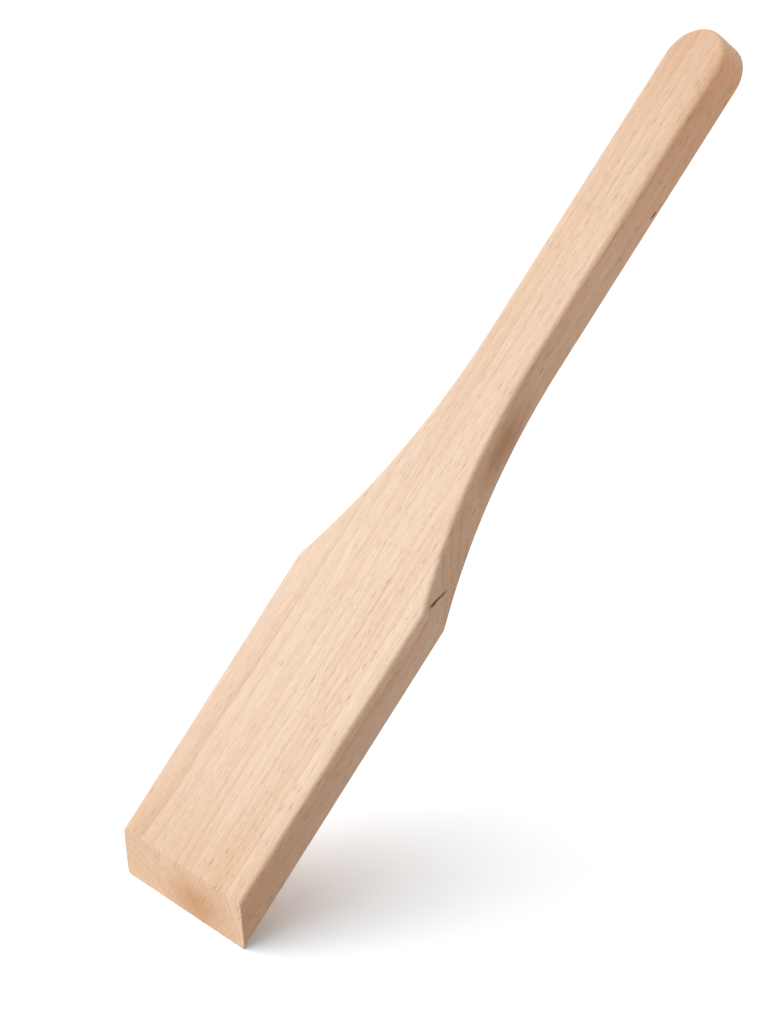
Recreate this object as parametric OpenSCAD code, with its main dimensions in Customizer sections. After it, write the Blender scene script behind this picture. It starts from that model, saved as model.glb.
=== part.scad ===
// Flat wooden paddle with a single blade, shaped from one board.
//
// The board lies on its back face, on the plane z = 0, with the working face up.
// Its length runs along X, with the round end of the handle towards +X, and its width along Y.
// The origin is the middle of the whole length and width, on the back face.
//
// The shape is drawn first with x = 0 where the sawn end meets the middle of the working face,
// so that every length along X is measured from there, and is then moved to the origin.

/* [Board] */
// Length down the middle of the working face, from the sawn end to the tip of the handle
overall_length = 344; // [310:1:400]
// Thickness of the board
thickness = 13.5; // [10:0.5:18]
// Radius of the rounding along the long edges of both faces
edge_radius = 2.2; // [1:0.1:4]

/* [Blade] */
// Width of the blade
blade_width = 70; // [60:1:80]
// Length of the blade's straight sides, from the sawn end to the shoulders
blade_length = 115; // [90:1:130]
// Slant of the sawn end away from a square cut, which leaves the back face the longer one
end_slant = 41.5; // [0:0.5:50]
// Skew of the sawn end across the width of the blade
end_skew = 3; // [-6:0.5:6]

/* [Handle] */
// Width of the handle, which is also the diameter of its round end
handle_width = 28; // [22:1:34]
// Radius of the hollow on each side of the neck, which runs from the shoulder into the handle
neck_radius = 245; // [180:5:280]

/* [Hidden] */
// Number of facets in a full circle
$fn = 180;
// How far the cutting tools run clear of the wood
tool_clear = 1;
// Step from the side of the blade in to the side of the handle
neck_depth = (blade_width - handle_width) / 2;
// Length of each hollow, from the shoulder to where it runs out along the handle's side
neck_length = sqrt(2 * neck_radius * neck_depth - neck_depth * neck_depth);
// Place along X where the handle's parallel sides begin
handle_start = blade_length + neck_length;
// Place along X of the centre of the handle's round end
round_end_x = overall_length - handle_width / 2;
// How far the sawn end leans along X for each millimetre of the board's thickness
cut_lean = tan(end_slant) / cos(end_skew);
// How far it strays along X for each millimetre of the blade's width
cut_stray = tan(abs(end_skew));
// Furthest that the back face reaches past the sawn edge of the working face.
// The last term is for the rounded corner, where the cut reaches its furthest point.
heel_reach = cut_lean * (thickness - edge_radius)
    + cut_stray * (blade_width / 2 - edge_radius)
    + edge_radius * sqrt(cut_lean * cut_lean + cut_stray * cut_stray);
// Place along X of the middle of the whole length
middle_x = (overall_length - heel_reach) / 2;

// Cross-section of a piece of the board: a rectangle of a given width with rounded corners.
// It is centred on Y and stands on the plane z = 0.
module section(width) {
    flat_width = width - 2 * edge_radius;
    translate([-flat_width / 2, 0]) square([flat_width, thickness]);
    translate([-width / 2, edge_radius]) square([width, thickness - 2 * edge_radius]);
    for (side = [-1, 1], height = [edge_radius, thickness - edge_radius])
        translate([side * flat_width / 2, height]) circle(r = edge_radius);
}

// Straight length with that cross-section, between two places along X
module bar(width, from_x, to_x) {
    translate([from_x, 0, 0])
        rotate([90, 0, 90])
            linear_extrude(to_x - from_x) section(width);
}

// Half disc that carries the same cross-section around the end of the handle
module round_end() {
    translate([round_end_x, 0, 0])
        rotate([0, 0, -90])
            rotate_extrude(angle = 180)
                intersection() {
                    section(handle_width);
                    square([handle_width / 2, thickness]);
                }
}

// Turned cutter that hollows one side of the neck.
// Its rim is the hollow of the same cross-section, so it leaves the edges rounded.
module neck_cutter(side) {
    translate([handle_start, side * (handle_width / 2 + neck_radius), 0])
        rotate_extrude()
            difference() {
                translate([0, -tool_clear])
                    square([neck_radius + edge_radius, thickness + 2 * tool_clear]);
                translate([neck_radius + handle_width / 2, 0]) section(handle_width);
            }
}

// Block of waste beyond the saw cut, which slants under the working face and runs out of square
module end_waste() {
    reach = blade_width + thickness + heel_reach;
    translate([0, 0, thickness])
        rotate([0, end_slant, -end_skew])
            translate([-reach, 0, 0]) cube(2 * reach, center = true);
}

// Blade, neck and handle in one piece of wood
module paddle() {
    color("#F0D3B7")
        translate([-middle_x, 0, 0])
            difference() {
                union() {
                    bar(blade_width, -heel_reach - tool_clear, handle_start);
                    bar(handle_width, blade_length, round_end_x);
                    round_end();
                }
                for (side = [-1, 1]) neck_cutter(side);
                end_waste();
            }
}

paddle();
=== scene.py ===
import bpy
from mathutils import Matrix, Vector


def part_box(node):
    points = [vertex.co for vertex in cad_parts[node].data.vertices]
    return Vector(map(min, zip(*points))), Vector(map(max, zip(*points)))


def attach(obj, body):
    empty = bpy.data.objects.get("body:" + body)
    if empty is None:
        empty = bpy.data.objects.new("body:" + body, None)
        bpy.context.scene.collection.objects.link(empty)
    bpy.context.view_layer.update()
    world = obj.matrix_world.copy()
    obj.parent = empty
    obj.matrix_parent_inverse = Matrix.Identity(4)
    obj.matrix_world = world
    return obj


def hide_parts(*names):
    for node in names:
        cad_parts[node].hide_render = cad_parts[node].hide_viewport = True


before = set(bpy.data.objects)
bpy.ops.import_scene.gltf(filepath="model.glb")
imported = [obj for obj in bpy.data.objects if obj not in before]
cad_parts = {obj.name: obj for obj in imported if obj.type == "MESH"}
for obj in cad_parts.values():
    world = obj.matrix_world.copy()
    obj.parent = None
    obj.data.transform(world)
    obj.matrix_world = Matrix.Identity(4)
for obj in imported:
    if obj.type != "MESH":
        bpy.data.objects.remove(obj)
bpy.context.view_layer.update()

"""Looks of a flat wooden paddle with a single blade, shaped from one board of beech.

The board lies on its back face, on the plane z = 0, with the working face up and the round
end of the handle towards +X. Sizes are written in millimetres and modelled in metres.
Places along X are drawn from the middle of the sawn edge of the working face, and then moved
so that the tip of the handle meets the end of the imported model's box.
"""

import logging
import math
from dataclasses import dataclass
from enum import Enum
from typing import Any, Callable

import bmesh
import bpy
from mathutils import Matrix, Vector

MM = 0.001
# How close two places have to be to count as one, in metres
TOUCH = 0.001 * MM
PAPER_WHITE = (1.0, 1.0, 1.0, 1.0)

log = logging.getLogger("paddle")


class Sight(Enum):
    """Ways in which a surface is seen: straight, mirrored in gloss, or through glass."""

    STRAIGHT = "Is Camera Ray"
    MIRRORED = "Is Glossy Ray"
    THROUGH = "Is Transmission Ray"


def to_linear(hex_colour: str) -> tuple[float, float, float, float]:
    """Turn an sRGB hex colour into the linear colour that shaders take.

    Args:
        hex_colour: six hex digits after a hash, such as "#F4D8BD".

    Returns:
        Linear red, green and blue, and an alpha of one.
    """
    parts = [int(hex_colour[i:i + 2], 16) / 255 for i in (1, 3, 5)]
    linear = [c / 12.92 if c <= 0.04045 else ((c + 0.055) / 1.055) ** 2.4 for c in parts]
    return (linear[0], linear[1], linear[2], 1.0)


def add_node(tree: bpy.types.NodeTree, kind: str, feeds: dict[Any, Any] | None = None,
             **settings: Any) -> bpy.types.Node:
    """Add one node to a shader tree, with its settings and what feeds its sockets.

    Args:
        tree: the node tree that takes the node.
        kind: the node's type, without the leading "ShaderNode".
        feeds: for a socket's name or number, an output to link to it or a plain value.
        settings: the node's own properties.

    Returns:
        The new node.
    """
    node = tree.nodes.new("ShaderNode" + kind)
    for name, value in settings.items():
        setattr(node, name, value)
    for key, value in (feeds or {}).items():
        if isinstance(value, bpy.types.NodeSocket):
            tree.links.new(value, node.inputs[key])
        else:
            node.inputs[key].default_value = value
    return node


def sight_switch(tree: bpy.types.NodeTree) -> bpy.types.NodeSocket:
    """Tell the rays that see a surface from those that only carry light.

    Args:
        tree: the node tree that takes the switch.

    Returns:
        One for rays of any kind in Sight, and nought for the others.
    """
    path = add_node(tree, "LightPath")
    seen = path.outputs[Sight.STRAIGHT.value]
    for way in (Sight.MIRRORED, Sight.THROUGH):
        seen = add_node(tree, "Math", {0: seen, 1: path.outputs[way.value]},
                        operation="MAXIMUM").outputs[0]
    return seen


def select_where(mesh: bpy.types.Mesh, part: str, test: Callable[[Any], bool]) -> int:
    """Select only the edges or faces of the mesh in edit mode that pass a test.

    Args:
        mesh: the mesh in edit mode.
        part: "edges" or "faces".
        test: says whether one edge or face is wanted.

    Returns:
        How many were selected.
    """
    bm = bmesh.from_edit_mesh(mesh)
    bm.normal_update()
    for group in (bm.verts, bm.edges, bm.faces):
        for item in group:
            item.select = False
    wanted = [item for item in getattr(bm, part) if test(item)]
    for item in wanted:
        item.select_set(True)
    bmesh.update_edit_mesh(mesh)
    return len(wanted)


@dataclass(frozen=True)
class Tinge:
    """A soft-edged place in the wood whose colour is multiplied by a tint.

    Centre and radii are in millimetres, and x is drawn from the sawn edge. The turn is about
    the board's width, and edge is the share of the radii over which the tint fades out.
    """

    centre: tuple[float, float, float]
    radii: tuple[float, float, float]
    tint: str
    edge: float = 1.0
    turn: float = 0.0


@dataclass(frozen=True)
class Spindles:
    """Short slim marks that lie along the grain, one to a cell of wood.

    Sizes are in millimetres along the board, round its rings and out from the pith.
    """

    spacing: tuple[float, float, float]
    length: tuple[float, float, float]
    soft: float = 0.6


@dataclass(frozen=True)
class Beech:
    """European beech, planed and sanded, with no varnish.

    To the eye: a warm pinkish cream with a dull silky sheen. Growth rings run along the board
    as soft broad bands with thin darker late wood, and rays show as short red-brown flecks.
    """

    # Place along X, in millimetres, of the sawn edge of the working face
    sawn_x: float
    name: str = "beech_planed_sanded"
    # Early wood, the warm lanes in it, late wood, the rays, and a painted shade tint for the
    # sides
    pale_wood: str = "#F7DEC7"
    warm_wood: str = "#EFCDAE"
    late_wood: str = "#D9AE88"
    ray: str = "#9C6A48"
    # Painted shade: the sides are tinted darker and redder, as they look in shade
    painted_flank_shade: str = "#FFEFE5"
    # Where the heart of the tree ran, beside and below the board
    pith_y: float = 32.0
    pith_z: float = -33.9
    # Distance of each winter from the pith: the years are 1.5 to 3.3 mm wide
    ring_edges: tuple[float, ...] = (
        31.8, 34.3, 36.8, 39.1, 41.6, 43.9, 46.3, 48.4, 49.9, 53.1, 55.6, 57.8, 60.7, 62.5,
        65.2, 67.8, 70.2, 72.6, 75.3, 78.0, 80.4, 82.9)
    # Tint along the board, darker and warmer towards its two ends
    tones: tuple[tuple[float, str], ...] = (
        (-12, "#F7EFE6"), (8, "#F8F0E8"), (35, "#FDFAF9"), (75, "#FFFFFF"), (130, "#FFFFFF"),
        (200, "#FBF7F4"), (250, "#FAF5F1"), (290, "#F7F0EA"), (320, "#F2E8DE"),
        (344, "#EDDED1"))
    # Orange patch on the sawn end, painted shade in the neck's hollow on its near side, near
    # side of the handle, dark streak at the shoulder in two strokes, and a red fleck under the
    # handle
    tinges: tuple[Tinge, ...] = (
        Tinge((-7, -7, 4), (15, 24, 12), "#E6D1B9"),
        # Painted shade in the hollow of the neck, on its near side
        Tinge((182, -17, 6), (26, 10, 7.4), "#D9C9B6"),
        Tinge((325, -15, 10), (85, 11, 24), "#F6F0EA"),
        Tinge((123.4, -33.0, 7.7), (8.3, 6, 0.55), "#86735B", 0.55, 34.0),
        Tinge((119.8, -33.5, 9.8), (3.0, 6, 0.85), "#A08D76", 0.7, 34.0),
        Tinge((277.3, -14.0, 2.3), (2.7, 2.5, 0.42), "#7A4A3A", 0.6, 3.0))
    # Length, width and depth of the soft lanes, the streaks and the fibres. Real fibres are
    # a fiftieth of a millimetre wide, too fine to show, and are drawn 0.42 mm wide.
    lane_size: tuple[float, float, float] = (130.0, 13.0, 13.0)
    streak_size: tuple[float, float, float] = (46.0, 1.7, 1.7)
    fibre_size: tuple[float, float, float] = (7.0, 0.42, 0.42)
    # How far the fibres darken and lighten the wood
    fibre_shade: tuple[float, float] = (0.88, 1.10)
    # How far the grain wanders across the board, and the size of its swells
    wander: float = 2.4
    wander_size: tuple[float, float, float] = (85.0, 30.0, 30.0)
    # Millimetres round the rings for each radian, at the board's usual distance from the pith
    round_scale: float = 60.0
    # Rays are 0.1 to 0.3 mm wide and up to 4 mm long, and are drawn at about that size
    fine_rays: Spindles = Spindles((3.0, 0.75, 16.0), (1.4, 0.19, 9.0))
    bold_rays: Spindles = Spindles((6.0, 1.7, 24.0), (2.2, 0.26, 14.0))
    # Sanded wood is dull, with a faint silkiness that changes from fibre to fibre
    roughness: float = 0.62
    roughness_swing: float = 0.07
    specular: float = 0.3
    # Height of the raised fibres, in millimetres, and how strongly they catch the light
    relief_height: float = 0.06
    relief_strength: float = 0.5

    def material(self) -> bpy.types.Material:
        """Build the wood as a solid pattern, so that every cut through it agrees.

        Returns:
            The material.
        """
        made = bpy.data.materials.new(self.name)
        made.use_nodes = True
        tree = made.node_tree
        tree.nodes.clear()
        spot = add_node(tree, "TexCoord")
        place = spot.outputs["Object"]
        wood = add_node(tree, "Mapping", {
            "Vector": place, "Scale": (1 / MM,) * 3,
            "Location": (-self.sawn_x, -self.pith_y, -self.pith_z)}).outputs[0]
        grain = self.waver(tree, wood)
        parts = add_node(tree, "SeparateXYZ", {0: grain})
        across = add_node(tree, "VectorMath", {0: grain, 1: (0, 1, 1)},
                          operation="MULTIPLY").outputs[0]
        radius = add_node(tree, "VectorMath", {0: across}, operation="LENGTH").outputs["Value"]
        turn = add_node(tree, "Math", {0: parts.outputs[1], 1: parts.outputs[2]},
                        operation="ARCTAN2").outputs[0]
        round_way = add_node(tree, "Math", {0: turn, 1: self.round_scale},
                             operation="MULTIPLY").outputs[0]
        radial = add_node(tree, "CombineXYZ", {
            0: parts.outputs[0], 1: round_way, 2: radius}).outputs[0]

        late, ring_tone = self.rings(tree, wood, radius)
        broad = self.stretched_noise(tree, grain, self.lane_size, 2.0)
        streaks = self.stretched_noise(tree, grain, self.streak_size, 3.0)
        fibres = self.stretched_noise(tree, grain, self.fibre_size, 3.0)
        rays_fine = self.spindles(tree, radial, self.fine_rays)
        rays_bold = self.spindles(tree, radial, self.bold_rays)

        tone = self.weighted(tree, ((ring_tone, 0.55), (broad, 0.75), (streaks, 0.85)), -0.57)
        colour = add_node(tree, "Mix", {
            "Factor": tone, "A": to_linear(self.pale_wood), "B": to_linear(self.warm_wood)},
            data_type="RGBA", clamp_factor=True)
        colour = add_node(tree, "Mix", {
            "Factor": late, "A": colour.outputs["Result"], "B": to_linear(self.late_wood)},
            data_type="RGBA")
        rays = self.weighted(tree, ((rays_fine, 0.34), (rays_bold, 0.44)), 0.0)
        colour = add_node(tree, "Mix", {
            "Factor": rays, "A": colour.outputs["Result"], "B": to_linear(self.ray)},
            data_type="RGBA", clamp_factor=True)
        shade = add_node(tree, "MapRange", {
            0: fibres, 1: 0.25, 2: 0.75, 3: self.fibre_shade[0],
            4: self.fibre_shade[1]}).outputs[0]
        colour = add_node(tree, "VectorMath", {0: colour.outputs["Result"], "Scale": shade},
                          operation="SCALE").outputs[0]
        colour = self.tone_along(tree, colour, parts.outputs[0])
        for tinge in self.tinges:
            colour = self.tinged(tree, colour, wood, tinge)
        # Painted shade: faces turned towards +Y or -Y are tinted darker and redder
        facing = add_node(tree, "SeparateXYZ", {0: spot.outputs["Normal"]})
        aside = add_node(tree, "Math", {0: facing.outputs[1]}, operation="ABSOLUTE").outputs[0]
        aside = add_node(tree, "MapRange", {0: aside, 1: 0.45, 2: 0.95},
                         interpolation_type="SMOOTHSTEP").outputs[0]
        painted_flank_shade = add_node(tree, "Mix", {
            "Factor": aside, "A": colour, "B": to_linear(self.painted_flank_shade)},
            data_type="RGBA", blend_type="MULTIPLY")

        relief = self.weighted(tree, ((fibres, 0.5), (streaks, 0.2), (rays, -0.8)), 0.0)
        bump = add_node(tree, "Bump", {
            "Strength": self.relief_strength, "Distance": self.relief_height * MM, 
            "Height": relief}).outputs[0]
        dull = add_node(tree, "MapRange", {
            0: fibres, 1: 0.2, 2: 0.8, 3: self.roughness - self.roughness_swing,
            4: self.roughness + self.roughness_swing}).outputs[0]
        shader = add_node(tree, "BsdfPrincipled", {
            "Base Color": painted_flank_shade.outputs["Result"], "Roughness": dull, "Normal": bump,
            "Specular IOR Level": self.specular})
        add_node(tree, "OutputMaterial", {"Surface": shader.outputs[0]})
        return made

    def waver(self, tree: bpy.types.NodeTree, wood: bpy.types.NodeSocket
              ) -> bpy.types.NodeSocket:
        """Let the grain waver a little as it runs along the board.

        Args:
            tree: the material's node tree.
            wood: places in the wood in millimetres, from the pith.

        Returns:
            The same places, moved across the board by half a millimetre or so.
        """
        slow = add_node(tree, "Mapping", {
            "Vector": wood, "Scale": tuple(1 / part for part in self.wander_size)}).outputs[0]
        drift = add_node(tree, "TexNoise", {"Vector": slow, "Scale": 1.0, "Detail": 1.0})
        even = add_node(tree, "VectorMath", {0: drift.outputs["Color"], 1: (0.5, 0.5, 0.5)},
                        operation="SUBTRACT").outputs[0]
        return add_node(tree, "VectorMath", {
            0: even, 1: (0, self.wander, self.wander), 2: wood},
            operation="MULTIPLY_ADD").outputs[0]

    def stretched_noise(self, tree: bpy.types.NodeTree, place: bpy.types.NodeSocket,
                        size: tuple[float, float, float], detail: float
                        ) -> bpy.types.NodeSocket:
        """Make soft variation that is drawn out along the grain.

        Args:
            tree: the material's node tree.
            place: places in the wood, in millimetres.
            size: how long, wide and deep one swell of it is, in millimetres.
            detail: how many finer layers it has.

        Returns:
            A value around one half.
        """
        scaled = add_node(tree, "Mapping", {
            "Vector": place, "Scale": tuple(1 / part for part in size)}).outputs[0]
        return add_node(tree, "TexNoise", {
            "Vector": scaled, "Scale": 1.0, "Detail": detail, "Roughness": 0.55}).outputs[0]

    def weighted(self, tree: bpy.types.NodeTree,
                 terms: tuple[tuple[bpy.types.NodeSocket, float], ...], start: float
                 ) -> bpy.types.NodeSocket:
        """Add up values, each times its weight.

        Args:
            tree: the material's node tree.
            terms: pairs of a value and its weight.
            start: a number that the sum starts from.

        Returns:
            The sum.
        """
        total: Any = start
        for value, weight in terms:
            total = add_node(tree, "Math", {0: value, 1: weight, 2: total},
                             operation="MULTIPLY_ADD").outputs[0]
        return total

    def rings(self, tree: bpy.types.NodeTree, wood: bpy.types.NodeSocket,
              radius: bpy.types.NodeSocket
              ) -> tuple[bpy.types.NodeSocket, bpy.types.NodeSocket]:
        """Lay out the growth rings, each a few millimetres wide and darker at its outer edge.

        Args:
            tree: the material's node tree.
            wood: places in the wood, in millimetres.
            radius: distance from the pith, in millimetres.

        Returns:
            How far the wood is late wood, and a tone of each ring's own.
        """
        first, last = self.ring_edges[0], self.ring_edges[-1]
        years = len(self.ring_edges) - 1
        span = add_node(tree, "MapRange", {0: radius, 1: first, 2: last}).outputs[0]
        table = add_node(tree, "ValToRGB", {0: span})
        stops = table.color_ramp.elements
        for year, edge in enumerate(self.ring_edges):
            at = (edge - first) / (last - first)
            stop = stops[0] if year == 0 else stops[-1] if year == years else stops.new(at)
            stop.color = (year / years,) * 3 + (1,)
        age = add_node(tree, "Math", {0: table.outputs[0], 1: float(years)},
                       operation="MULTIPLY").outputs[0]
        share = add_node(tree, "Math", {0: age}, operation="FRACT").outputs[0]
        year = add_node(tree, "Math", {0: age}, operation="FLOOR").outputs[0]
        own = add_node(tree, "TexWhiteNoise", {"W": year}, noise_dimensions="1D")
        season = add_node(tree, "ValToRGB", {0: share})
        ramp = season.color_ramp
        ramp.interpolation = "EASE"
        ramp.elements[0].position, ramp.elements[0].color = 0.0, (0.22,) * 3 + (1,)
        ramp.elements[1].position, ramp.elements[1].color = 0.16, (0, 0, 0, 1)
        for at, dark in ((0.55, 0.12), (0.86, 0.55), (0.95, 1.0), (1.0, 0.22)):
            ramp.elements.new(at).color = (dark,) * 3 + (1,)
        weight = add_node(tree, "MapRange", {
            0: own.outputs["Value"], 3: 0.14, 4: 0.55}).outputs[0]
        patchy = self.stretched_noise(tree, wood, (60, 9, 9), 1.0)
        patchy = add_node(tree, "MapRange", {0: patchy, 1: 0.3, 2: 0.7, 3: 0.35, 4: 1.2}
                          ).outputs[0]
        late = add_node(tree, "Math", {0: season.outputs[0], 1: weight},
                        operation="MULTIPLY").outputs[0]
        late = add_node(tree, "Math", {0: late, 1: patchy}, operation="MULTIPLY").outputs[0]
        hue = add_node(tree, "SeparateXYZ", {0: own.outputs["Color"]})
        return late, hue.outputs[1]

    def spindles(self, tree: bpy.types.NodeTree, radial: bpy.types.NodeSocket,
                 marks: Spindles) -> bpy.types.NodeSocket:
        """Scatter spindle-shaped ray flecks, one in each cell, each of its own strength.

        Args:
            tree: the material's node tree.
            radial: places along the board, round the rings and out from the pith.
            marks: spacing and size of the flecks.

        Returns:
            How strongly a fleck shows, from zero to one.
        """
        scaled = add_node(tree, "Mapping", {
            "Vector": radial, "Scale": tuple(1 / gap for gap in marks.spacing)}).outputs[0]
        cell = add_node(tree, "TexVoronoi", {"Vector": scaled, "Scale": 1.0})
        offset = add_node(tree, "VectorMath", {0: scaled, 1: cell.outputs["Position"]},
                          operation="SUBTRACT").outputs[0]
        sized = add_node(tree, "VectorMath", {
            0: offset, 1: tuple(gap / size for gap, size in zip(marks.spacing, marks.length))},
            operation="MULTIPLY").outputs[0]
        reach = add_node(tree, "VectorMath", {0: sized}, operation="LENGTH").outputs["Value"]
        body = add_node(tree, "MapRange", {
            0: reach, 1: 1.0 - marks.soft, 2: 1.0, 3: 1.0, 4: 0.0}).outputs[0]
        luck = add_node(tree, "SeparateXYZ", {0: cell.outputs["Color"]}).outputs[0]
        luck = add_node(tree, "Math", {0: luck, 1: 2.2}, operation="POWER").outputs[0]
        return add_node(tree, "Math", {0: body, 1: luck}, operation="MULTIPLY").outputs[0]

    def tone_along(self, tree: bpy.types.NodeTree, colour: bpy.types.NodeSocket,
                   along: bpy.types.NodeSocket) -> bpy.types.NodeSocket:
        """Deepen the colour towards the two ends of the board.

        Args:
            tree: the material's node tree.
            colour: the wood's colour so far.
            along: distance from the sawn edge, in millimetres.

        Returns:
            The toned colour.
        """
        low, high = self.tones[0][0], self.tones[-1][0]
        span = add_node(tree, "MapRange", {0: along, 1: low, 2: high}).outputs[0]
        table = add_node(tree, "ValToRGB", {0: span})
        stops = table.color_ramp.elements
        for number, (x, tint) in enumerate(self.tones):
            at = (x - low) / (high - low)
            stop = (stops[0] if number == 0 else stops[-1]
                    if number == len(self.tones) - 1 else stops.new(at))
            stop.color = to_linear(tint)
        return add_node(tree, "VectorMath", {0: colour, 1: table.outputs[0]},
                        operation="MULTIPLY").outputs[0]

    def tinged(self, tree: bpy.types.NodeTree, colour: bpy.types.NodeSocket,
               wood: bpy.types.NodeSocket, tinge: Tinge) -> bpy.types.NodeSocket:
        """Tint one soft-edged place in the wood.

        Args:
            tree: the material's node tree.
            colour: the wood's colour so far.
            wood: places in the wood in millimetres, from the pith.
            tinge: where the place is, and its tint.

        Returns:
            The tinted colour.
        """
        x, y, z = tinge.centre
        centred = add_node(tree, "VectorMath", {
            0: wood, 1: (x, y - self.pith_y, z - self.pith_z)}, operation="SUBTRACT")
        turned = add_node(tree, "VectorRotate", {
            "Vector": centred.outputs[0], "Angle": math.radians(-tinge.turn)},
            rotation_type="Y_AXIS").outputs[0]
        sized = add_node(tree, "VectorMath", {
            0: turned, 1: tuple(1 / part for part in tinge.radii)},
            operation="MULTIPLY").outputs[0]
        reach = add_node(tree, "VectorMath", {0: sized}, operation="LENGTH").outputs["Value"]
        share = add_node(tree, "MapRange", {
            0: reach, 1: 1.0 - tinge.edge, 2: 1.0, 3: 1.0, 4: 0.0},
            interpolation_type="SMOOTHSTEP").outputs[0]
        return add_node(tree, "Mix", {
            "Factor": share, "A": colour, "B": to_linear(tinge.tint)},
            data_type="RGBA", blend_type="MULTIPLY").outputs["Result"]


@dataclass
class Paddle:
    """The paddle itself: blade, hollowed neck and round-ended handle in one piece of wood."""

    # Sizes of the board, in millimetres and degrees, as in the part's source
    overall_length: float = 344.0
    thickness: float = 13.5
    edge_radius: float = 2.2
    blade_width: float = 70.0
    blade_length: float = 115.0
    end_slant: float = 41.5
    end_skew: float = 3.0
    handle_width: float = 28.0
    neck_radius: float = 245.0
    # How far the shoulder corners and the sawn edges are eased
    shoulder_ease: float = 1.2
    saw_ease: float = 0.25
    # One half gives a round edge, and more a squarer one, as sanding leaves it
    edge_fullness: float = 0.6
    # How many faces each curve is drawn with
    neck_steps: int = 32
    round_steps: int = 24
    edge_steps: int = 8

    def start_x(self) -> float:
        """Place in the frame, in millimetres, of the sawn edge of the working face."""
        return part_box("paddle")[1][0] / MM - self.overall_length

    def at(self, x: float, y: float, z: float) -> Vector:
        """Place in the frame, in metres, of a point drawn in millimetres from the sawn edge."""
        return Vector((x + self.start_x(), y, z)) * MM

    def neck_profile(self) -> list[tuple[float, float]]:
        """Half widths down the neck, from the shoulder to the handle's parallel sides.

        Returns:
            Pairs of distance along X and half width, in millimetres.
        """
        depth = (self.blade_width - self.handle_width) / 2
        length = math.sqrt(2 * self.neck_radius * depth - depth * depth)
        profile = []
        for step in range(self.neck_steps + 1):
            along = length * step / self.neck_steps
            left = length - along
            sink = self.neck_radius - math.sqrt(self.neck_radius ** 2 - left ** 2)
            profile.append((self.blade_length + along, self.handle_width / 2 + sink))
        return profile

    def build(self) -> bpy.types.Object:
        """Model the paddle as a joiner would: shape one half, mirror it, round it, saw it.

        Returns:
            The finished piece, at the origin.
        """
        piece = self.rough_half()
        self.shape_neck_and_handle(piece)
        self.mirror(piece)
        self.ease_edges(piece)
        self.saw_end(piece)
        self.smooth(piece)
        return piece

    def rough_half(self) -> bpy.types.Object:
        """Add the +Y half of the blade as a box, from past the saw cut to the shoulder.

        Returns:
            The box, as a new piece.
        """
        heel = -(self.thickness + self.blade_width) / 2
        low, high = self.at(heel, 0, 0), self.at(
            self.blade_length, self.blade_width / 2, self.thickness)
        bpy.ops.object.select_all(action="DESELECT")
        bpy.ops.mesh.primitive_cube_add(size=1, location=(low + high) / 2)
        piece = bpy.context.object
        piece.name = piece.data.name = "beech_paddle"
        piece.scale = high - low
        bpy.ops.object.transform_apply(location=True, rotation=True, scale=True)
        return piece

    def shape_neck_and_handle(self, piece: bpy.types.Object) -> None:
        """Draw the end face out along the neck and handle, and turn it round the tip.

        Args:
            piece: the paddle so far.
        """
        bpy.ops.object.mode_set(mode="EDIT")
        select_where(piece.data, "faces", lambda face: face.normal.x > 0.9)
        profile = self.neck_profile()
        for (x0, half0), (x1, half1) in zip(profile, profile[1:]):
            bpy.ops.mesh.extrude_region_move(
                TRANSFORM_OT_translate={"value": ((x1 - x0) * MM, 0, 0)})
            bpy.ops.transform.resize(value=(1, half1 / half0, 1), center_override=(0, 0, 0))
        turn_x = self.overall_length - self.handle_width / 2
        bpy.ops.mesh.extrude_region_move(
            TRANSFORM_OT_translate={"value": ((turn_x - profile[-1][0]) * MM, 0, 0)})
        bpy.ops.mesh.spin(steps=self.round_steps, angle=math.pi / 2,
                          center=self.at(turn_x, 0, 0), axis=(0, 0, 1))
        bpy.ops.mesh.select_all(action="SELECT")
        bpy.ops.mesh.remove_doubles(threshold=TOUCH)
        bpy.ops.mesh.normals_make_consistent(inside=False)
        select_where(piece.data, "faces",
                     lambda face: all(abs(v.co.y) < TOUCH for v in face.verts))
        bpy.ops.mesh.delete(type="FACE")
        bpy.ops.object.mode_set(mode="OBJECT")

    def mirror(self, piece: bpy.types.Object) -> None:
        """Mirror the half across the middle of the board and make each broad face one face.

        Args:
            piece: the paddle so far.
        """
        bpy.ops.object.modifier_add(type="MIRROR")
        halves = piece.modifiers[-1]
        halves.use_axis = (False, True, False)
        halves.merge_threshold = TOUCH
        bpy.ops.object.modifier_apply(modifier=halves.name)
        bpy.ops.object.mode_set(mode="EDIT")
        bpy.ops.mesh.select_all(action="SELECT")
        bpy.ops.mesh.normals_make_consistent(inside=False)
        # A seam left across a broad face would spoil the rounding of its edges
        for facing in (-1, 1):
            select_where(piece.data, "faces", lambda face: face.normal.z * facing > 0.999)
            bpy.ops.mesh.dissolve_faces()
        bpy.ops.object.mode_set(mode="OBJECT")

    def ease_edges(self, piece: bpy.types.Object) -> None:
        """Ease the two shoulder corners, then round the long edges of both faces.

        Args:
            piece: the paddle so far.
        """
        shoulder = self.at(self.blade_length, 0, 0).x
        bpy.ops.object.mode_set(mode="EDIT")
        select_where(piece.data, "edges", lambda edge: all(
            abs(v.co.x - shoulder) < TOUCH
            and abs(abs(v.co.y) - self.blade_width / 2 * MM) < TOUCH
            for v in edge.verts))
        bpy.ops.mesh.bevel(offset=self.shoulder_ease * MM, segments=4, affect="EDGES")
        select_where(piece.data, "edges", lambda edge: len(edge.link_faces) == 2
                     and sorted(abs(f.normal.z) > 0.9 for f in edge.link_faces) == [False, True]
                     and all(abs(f.normal.x) < 0.99 or f.calc_center_median().x > 0
                             for f in edge.link_faces))
        bpy.ops.mesh.bevel(offset=self.edge_radius * MM, segments=self.edge_steps,
                           profile=self.edge_fullness, affect="EDGES", clamp_overlap=False)
        bpy.ops.object.mode_set(mode="OBJECT")

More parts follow.
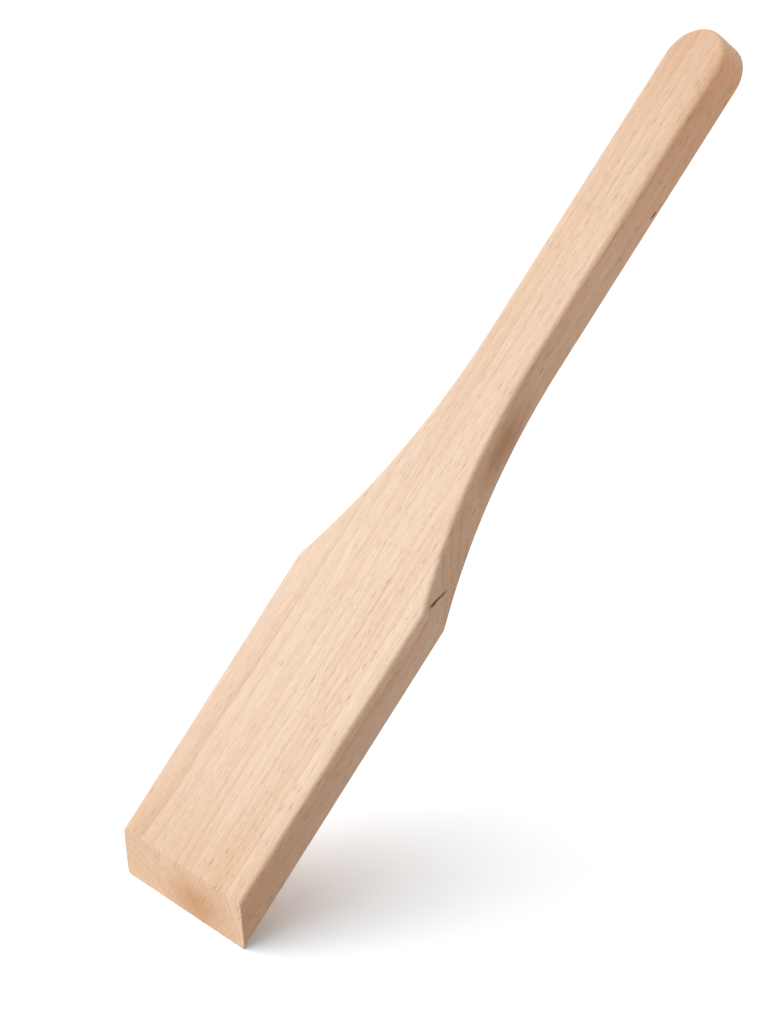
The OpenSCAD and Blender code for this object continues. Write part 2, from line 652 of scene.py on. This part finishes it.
    def saw_end(self, piece: bpy.types.Object) -> None:
        """Saw the blade off on its slant and skew, and take the splinters off the cut.

        Args:
            piece: the paddle so far.
        """
        slant, skew = math.radians(self.end_slant), math.radians(self.end_skew)
        keep = Vector((math.cos(slant) * math.cos(skew), -math.cos(slant) * math.sin(skew),
                       -math.sin(slant)))
        bpy.ops.object.mode_set(mode="EDIT")
        bpy.ops.mesh.select_all(action="SELECT")
        bpy.ops.mesh.bisect(plane_co=self.at(0, 0, self.thickness), plane_no=keep,
                            use_fill=True, clear_inner=True)
        select_where(piece.data, "edges", lambda edge: sorted(
            face.normal.dot(-keep) > 0.999 for face in edge.link_faces) == [False, True])
        bpy.ops.mesh.bevel(offset=self.saw_ease * MM, segments=3, affect="EDGES")
        bpy.ops.object.mode_set(mode="OBJECT")

    def smooth(self, piece: bpy.types.Object) -> None:
        """Shade the roundings smooth and keep the broad faces flat.

        Args:
            piece: the paddle so far.
        """
        bpy.ops.object.shade_smooth_by_angle(angle=math.radians(30))
        bpy.ops.object.modifier_add(type="WEIGHTED_NORMAL")
        weights = piece.modifiers[-1]
        weights.keep_sharp = True
        bpy.ops.object.modifier_apply(modifier=weights.name)


@dataclass(frozen=True)
class Studio:
    """A pale floor under the sawn end, and a broad soft light from the left and above.

    Lamps' directions are to the right of, above and towards the camera. Levels are such that
    one, spread evenly, shows a colour as it is written.
    """

    # Where the camera stands, in metres, and which ways its right side and its gaze point
    eye_place: tuple[float, float, float] = (-0.2931, -1.7502, 1.6478)
    eye_right: tuple[float, float, float] = (0.5323, -0.6182, -0.5783)
    eye_gaze: tuple[float, float, float] = (0.1111, 0.7282, -0.6763)
    eye_reach: tuple[float, float] = (0.1, 50.0)
    lens: float = 246.1
    # The key lamp: a broad disk, far to the left and a little above
    key_from: tuple[float, float, float] = (-0.88, 0.45, 0.06)
    key_level: float = 0.2
    key_size: float = 2.2
    key_distance: float = 1.8
    # The room's own light, at its strongest and weakest, and how nearly the way to the key
    # lamp it is met where it starts and where it is full
    sky_level: float = 1.2
    sky_floor: float = 0.05
    sky_edge: float = -0.35
    sky_heart: float = 0.85
    # The fill lamp: a small disk near the tip, up to the right and out of view
    fill_from: tuple[float, float, float] = (0.75, 0.35, 0.45)
    fill_level: float = 0.36
    fill_size: float = 0.2
    fill_distance: float = 0.22
    # The floor tips up this many degrees to the camera, where the whole heel touches it
    floor_pitch: float = 24.8
    floor_size: float = 8.0
    # Tone of the paper for the light it throws, and brighter, so that it reads as white
    floor_tone: float = 0.85
    floor_seen: tuple[float, float, float] = (1.42, 1.48, 1.54)

    def camera(self) -> bpy.types.Object:
        """Place the camera, which looks down on the leaning paddle with a long lens.

        Returns:
            The camera.
        """
        right = Vector(self.eye_right).normalized()
        back = -Vector(self.eye_gaze).normalized()
        up = back.cross(right).normalized()
        right = up.cross(back)
        lens = bpy.data.cameras.new("camera")
        lens.lens = self.lens
        lens.clip_start, lens.clip_end = self.eye_reach
        eye = bpy.data.objects.new("camera", lens)
        turn = Matrix((right, up, back)).transposed().to_4x4()
        eye.matrix_world = Matrix.Translation(self.eye_place) @ turn
        bpy.context.collection.objects.link(eye)
        bpy.context.scene.camera = eye
        return eye

    def floor(self, eye: bpy.types.Object, piece: bpy.types.Object) -> bpy.types.Object:
        """Lay a pale floor, which the paddle touches with its heel and which hides nothing.

        Args:
            eye: the camera, whose axes the floor is level with.
            piece: the paddle, whose lowest corner rests on the floor.

        Returns:
            The floor.
        """
        up, back = eye.matrix_world.col[1].to_3d(), eye.matrix_world.col[2].to_3d()
        pitch = math.radians(self.floor_pitch)
        normal = (up * math.cos(pitch) + back * math.sin(pitch)).normalized()
        lowest = min((v.co for v in piece.data.vertices), key=normal.dot)
        bpy.ops.object.select_all(action="DESELECT")
        bpy.ops.mesh.primitive_plane_add(size=self.floor_size, location=lowest,
                                         rotation=normal.to_track_quat("Z", "X").to_euler())
        ground = bpy.context.object
        ground.name = "floor"
        paint = bpy.data.materials.new("floor_matt_paper")
        paint.use_nodes = True
        tree = paint.node_tree
        tree.nodes.clear()
        side = add_node(tree, "NewGeometry")
        plain = add_node(tree, "BsdfDiffuse", {"Color": (self.floor_tone,) * 3 + (1,)})
        bright = add_node(tree, "BsdfDiffuse", {"Color": (*self.floor_seen, 1.0)})
        seen = add_node(tree, "MixShader", {0: sight_switch(tree),
                                            1: plain.outputs[0], 2: bright.outputs[0]})
        # Seen from below, the floor is clear, so that it never hides the back face
        clear = add_node(tree, "BsdfTransparent")
        one_sided = add_node(tree, "MixShader", {0: side.outputs["Backfacing"],
                                                 1: seen.outputs[0], 2: clear.outputs[0]})
        add_node(tree, "OutputMaterial", {"Surface": one_sided.outputs[0]})
        ground.data.materials.append(paint)
        return ground

    def lamp(self, name: str, target: Vector, direction: Vector, distance: float,
             size: float, level: float) -> bpy.types.Object:
        """Hang one round soft lamp that faces a target.

        Args:
            name: the lamp's name.
            target: the place it lights, in metres.
            direction: the way from the target to the lamp.
            distance: how far away it hangs, in metres.
            size: its diameter, in metres.
            level: the light it gives at the target, where one shows a colour as written.

        Returns:
            The lamp.
        """
        disk = bpy.data.lights.new(name, "AREA")
        disk.shape = "DISK"
        disk.size = size
        disk.energy = (level * math.pi ** 2 * (size / 2) ** 2
                       * (1 + (2 * distance / size) ** 2))
        hung = bpy.data.objects.new(name, disk)
        hung.matrix_world = (Matrix.Translation(target + direction * distance)
                             @ direction.to_track_quat("Z", "Y").to_matrix().to_4x4())
        hung.visible_camera = False
        bpy.context.collection.objects.link(hung)
        return hung

    def light(self, eye: bpy.types.Object, tip: Vector) -> None:
        """Hang the two soft lamps, and light the room.

        Args:
            eye: the camera, whose axes give the lamps' directions.
            tip: the tip of the handle, in metres, which a small lamp picks out.
        """
        axes = [eye.matrix_world.col[i].to_3d() for i in range(3)]
        key_way, fill_way = (
            sum((axis * part for axis, part in zip(axes, way)), Vector()).normalized()
            for way in (self.key_from, self.fill_from))
        self.lamp("key", Vector(), key_way, self.key_distance, self.key_size, self.key_level)
        self.lamp("fill", tip, fill_way, self.fill_distance, self.fill_size, self.fill_level)
        self.room(key_way)

    def room(self, key_way: Vector) -> None:
        """Fill the room with even light that is stronger towards the key lamp.

        Args:
            key_way: the way to the key lamp.
        """
        world = bpy.data.worlds.new("studio")
        bpy.context.scene.world = world
        world.use_nodes = True
        tree = world.node_tree
        tree.nodes.clear()
        seen = sight_switch(tree)
        gaze = add_node(tree, "TexCoord").outputs["Generated"]
        lean = add_node(tree, "VectorMath", {0: gaze, 1: key_way}, operation="DOT_PRODUCT")
        glow = add_node(tree, "MapRange", {
            0: lean.outputs["Value"], 1: self.sky_edge, 2: self.sky_heart,
            3: self.sky_floor, 4: self.sky_level}, interpolation_type="SMOOTHSTEP")
        fill = add_node(tree, "Background", {"Color": PAPER_WHITE, "Strength": glow.outputs[0]})
        white = add_node(tree, "Background", {"Color": PAPER_WHITE, "Strength": 1.0})
        both = add_node(tree, "MixShader", {0: seen, 1: fill.outputs[0], 2: white.outputs[0]})
        add_node(tree, "OutputWorld", {"Surface": both.outputs[0]})


def main() -> None:
    """Build the paddle and the studio."""
    logging.basicConfig(level=logging.INFO, format="%(name)s: %(message)s")
    paddle = Paddle()
    piece = paddle.build()
    piece.data.materials.clear()
    piece.data.materials.append(Beech(sawn_x=paddle.start_x()).material())
    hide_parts("paddle")
    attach(piece, "root")
    log.info("%s: %d faces", piece.name, len(piece.data.polygons))
    bpy.context.scene.view_settings.view_transform = "Standard"
    studio = Studio()
    eye = studio.camera()
    studio.floor(eye, piece)
    studio.light(eye, paddle.at(paddle.overall_length, 0, paddle.thickness / 2))


if __name__ == "__main__":
    main()
